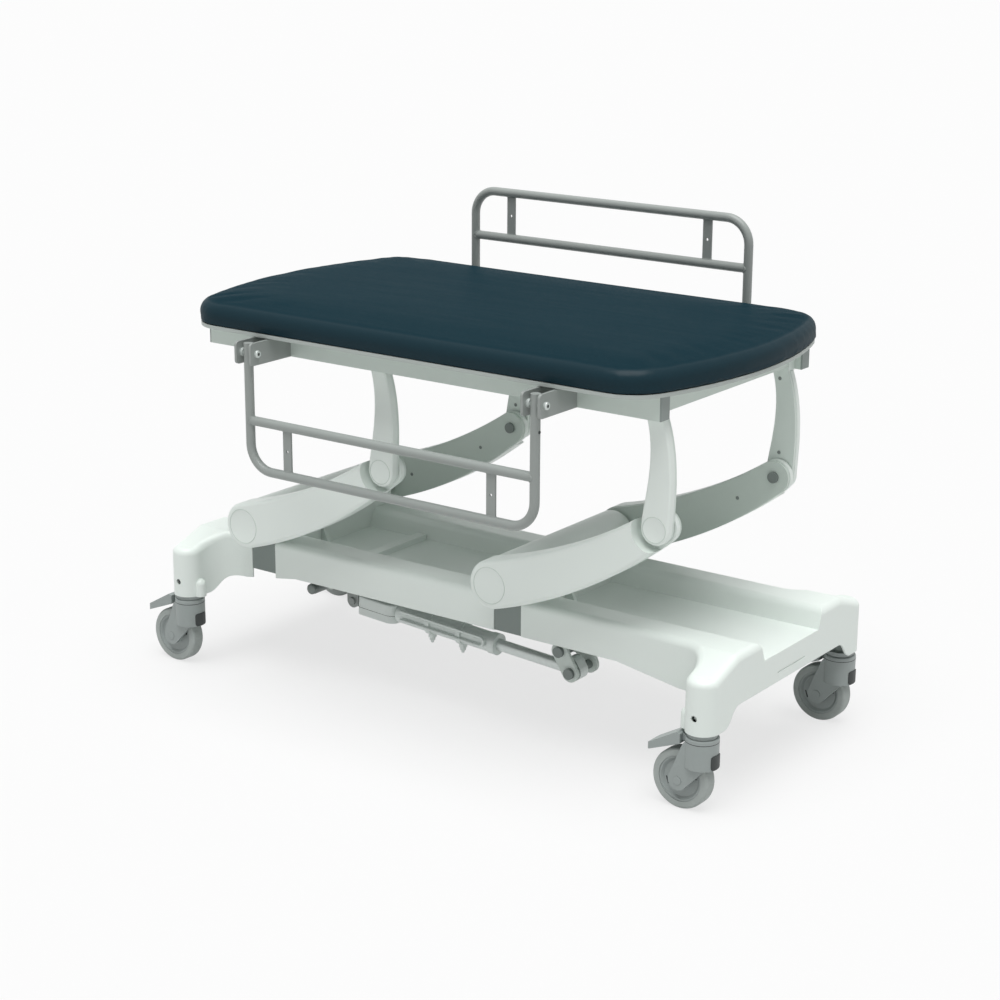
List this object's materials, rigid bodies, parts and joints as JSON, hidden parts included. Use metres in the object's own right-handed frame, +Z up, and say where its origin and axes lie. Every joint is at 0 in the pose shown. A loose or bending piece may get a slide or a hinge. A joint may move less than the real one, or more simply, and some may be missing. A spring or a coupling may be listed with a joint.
{
  "type": "paediatric examination table",
  "caption": "Height-adjustable examination table with a padded top, folding side rails, paired lifting arms and a moulded base on braked castors.",
  "frame": {"origin": "on the floor, below the middle of the whole table's box", "axes": "+X along the table to the right seen from the near side, +Y to the far side, +Z up"},
  "size_m": [1.515, 0.829, 1.053],
  "materials": {
    "moulding": "satin moulding, greenish white",
    "grey_steel": "satin paint, grey-green",
    "light_paint": "satin paint, light grey-green",
    "slot_steel": "satin paint, dark grey",
    "rail_paint": "satin paint, mid grey",
    "bright_steel": "brushed",
    "dark_steel": "blackened steel",
    "dark_plastic": "matt",
    "cap_plastic": "matt",
    "bearing_plastic": "matt",
    "actuator_grey": "satin anodised",
    "motor_grey": "satin",
    "castor_grey": "satin",
    "tyre": "grey non-marking",
    "vinyl": "vinyl-coated cloth over foam, dark teal",
    "board": "sealed board"
  },
  "bodies": {
    "base": {"base_cover": "moulding", "chassis_frame": "slot_steel", "pivot_bushes": "bearing_plastic", "actuator_bracket": "rail_paint", "foot_screws": "bright_steel", "castor_stems": "castor_grey"},
    "arm_left": {"torsion_tube_left": "light_paint", "lever_pins_left": "dark_steel", "arm_plate_near_left": "grey_steel", "arm_cover_near_left": "moulding", "arm_plate_far_left": "grey_steel", "arm_cover_far_left": "moulding"},
    "arm_right": {"torsion_tube_right": "light_paint", "lever_pins_right": "dark_steel", "arm_plate_near_right": "grey_steel", "arm_cover_near_right": "moulding", "arm_plate_far_right": "grey_steel", "arm_cover_far_right": "moulding", "lever_plate": "light_paint"},
    "top_frame": {"side_member_near": "rail_paint", "side_member_far": "rail_paint", "end_caps": "cap_plastic", "cross_members": "rail_paint", "top_board": "board", "mattress": "vinyl", "leg_plates": "light_paint", "leg_covers_near": "moulding", "leg_covers_far": "moulding", "bracket_near": "rail_paint", "bracket_far": "rail_paint", "bracket_bolts": "bright_steel", "lock_plungers": "dark_plastic", "knee_bolts": "dark_steel"},
    "rail_near": {"side_rail_near": "rail_paint"},
    "rail_far": {"side_rail_far": "rail_paint"},
    "actuator": {"actuator_motor": "motor_grey", "actuator_tube": "actuator_grey", "actuator_clamps": "actuator_grey"},
    "actuator_rod": {"actuator_rod": "bright_steel"},
    "tie_rod": {"tie_rod": "light_paint"},
    "castor_near_left": {"housing_near_left": "castor_grey", "axle_near_left": "castor_grey"},
    "wheel_near_left": {"wheel_near_left": "castor_grey", "tyre_near_left": "tyre"},
    "pedal_near_left": {"pedal_near_left": "castor_grey"},
    "castor_near_right": {"housing_near_right": "castor_grey", "axle_near_right": "castor_grey"},
    "wheel_near_right": {"wheel_near_right": "castor_grey", "tyre_near_right": "tyre"},
    "pedal_near_right": {"pedal_near_right": "castor_grey"},
    "castor_far_left": {"housing_far_left": "castor_grey", "axle_far_left": "castor_grey"},
    "wheel_far_left": {"wheel_far_left": "castor_grey", "tyre_far_left": "tyre"},
    "pedal_far_left": {"pedal_far_left": "castor_grey"},
    "castor_far_right": {"housing_far_right": "castor_grey", "axle_far_right": "castor_grey"},
    "wheel_far_right": {"wheel_far_right": "castor_grey", "tyre_far_right": "tyre"},
    "pedal_far_right": {"pedal_far_right": "castor_grey"}
  },
  "joints": [
    {"name": "arm_right", "type": "hinge", "parent": "base", "child": "arm_right", "pos_m": [0.197, 0, 0.353], "axis": [0, -1, 0], "range_deg": [-27, 18]},
    {"name": "arm_left", "type": "hinge", "parent": "base", "child": "arm_left", "pos_m": [-0.4855, 0, 0.353], "axis": [0, -1, 0], "range_deg": [-27, 18]},
    {"name": "top_level", "type": "hinge", "parent": "arm_right", "child": "top_frame", "pos_m": [0.58348, 0, 0.5415], "axis": [0, -1, 0], "range_deg": [-18, 27]},
    {"name": "tie_level", "type": "hinge", "parent": "arm_right", "child": "tie_rod", "pos_m": [0.28, -0.068, 0.186], "axis": [0, -1, 0], "range_deg": [-18, 27]},
    {"name": "actuator_swing", "type": "hinge", "parent": "base", "child": "actuator", "pos_m": [-0.291, -0.106, 0.178], "axis": [0, -1, 0], "range_deg": [-5.02, 3.36]},
    {"name": "rod_slide", "type": "slide", "parent": "actuator", "child": "actuator_rod", "axis": [0.9983, 0, -0.0584], "range_m": [-0.09824, 0.06566]},
    {"name": "rail_near_fold", "type": "hinge", "parent": "top_frame", "child": "rail_near", "pos_m": [0.031, -0.3965, 0.792], "axis": [-1, 0, 0], "range_deg": [0, 180]},
    {"name": "rail_far_fold", "type": "hinge", "parent": "top_frame", "child": "rail_far", "pos_m": [0.031, 0.3965, 0.792], "axis": [-1, 0, 0], "range_deg": [0, 180]},
    {"name": "castor_near_left_swivel", "type": "hinge", "parent": "base", "child": "castor_near_left", "pos_m": [-0.6445, -0.2845, 0.158], "axis": [0, 0, 1], "continuous": true},
    {"name": "wheel_near_left_roll", "type": "hinge", "parent": "castor_near_left", "child": "wheel_near_left", "pos_m": [-0.6835, -0.2845, 0.0625], "axis": [0, 1, 0], "continuous": true},
    {"name": "pedal_near_left_press", "type": "hinge", "parent": "castor_near_left", "child": "pedal_near_left", "pos_m": [-0.6665, -0.2845, 0.145], "axis": [0, -1, 0], "range_deg": [0, 8]},
    {"name": "castor_near_right_swivel", "type": "hinge", "parent": "base", "child": "castor_near_right", "pos_m": [0.7225, -0.2845, 0.158], "axis": [0, 0, 1], "continuous": true},
    {"name": "wheel_near_right_roll", "type": "hinge", "parent": "castor_near_right", "child": "wheel_near_right", "pos_m": [0.6835, -0.2845, 0.0625], "axis": [0, 1, 0], "continuous": true},
    {"name": "pedal_near_right_press", "type": "hinge", "parent": "castor_near_right", "child": "pedal_near_right", "pos_m": [0.7005, -0.2845, 0.145], "axis": [0, -1, 0], "range_deg": [0, 8]},
    {"name": "castor_far_left_swivel", "type": "hinge", "parent": "base", "child": "castor_far_left", "pos_m": [-0.6445, 0.2845, 0.158], "axis": [0, 0, 1], "continuous": true},
    {"name": "wheel_far_left_roll", "type": "hinge", "parent": "castor_far_left", "child": "wheel_far_left", "pos_m": [-0.6835, 0.2845, 0.0625], "axis": [0, 1, 0], "continuous": true},
    {"name": "pedal_far_left_press", "type": "hinge", "parent": "castor_far_left", "child": "pedal_far_left", "pos_m": [-0.6665, 0.2845, 0.145], "axis": [0, -1, 0], "range_deg": [0, 8]},
    {"name": "castor_far_right_swivel", "type": "hinge", "parent": "base", "child": "castor_far_right", "pos_m": [0.7225, 0.2845, 0.158], "axis": [0, 0, 1], "continuous": true},
    {"name": "wheel_far_right_roll", "type": "hinge", "parent": "castor_far_right", "child": "wheel_far_right", "pos_m": [0.6835, 0.2845, 0.0625], "axis": [0, 1, 0], "continuous": true},
    {"name": "pedal_far_right_press", "type": "hinge", "parent": "castor_far_right", "child": "pedal_far_right", "pos_m": [0.7005, 0.2845, 0.145], "axis": [0, -1, 0], "range_deg": [0, 8]}
  ],
  "couplings": [
    {"joint": "arm_left", "follows": "arm_right", "ratio": 1},
    {"joint": "top_level", "follows": "arm_right", "ratio": -1},
    {"joint": "tie_level", "follows": "arm_right", "ratio": -1},
    {"joint": "actuator_swing", "follows": "arm_right", "ratio": 0.184},
    {"joint": "rod_slide", "follows": "arm_right", "m_per_rad": 0.20741}
  ]
}
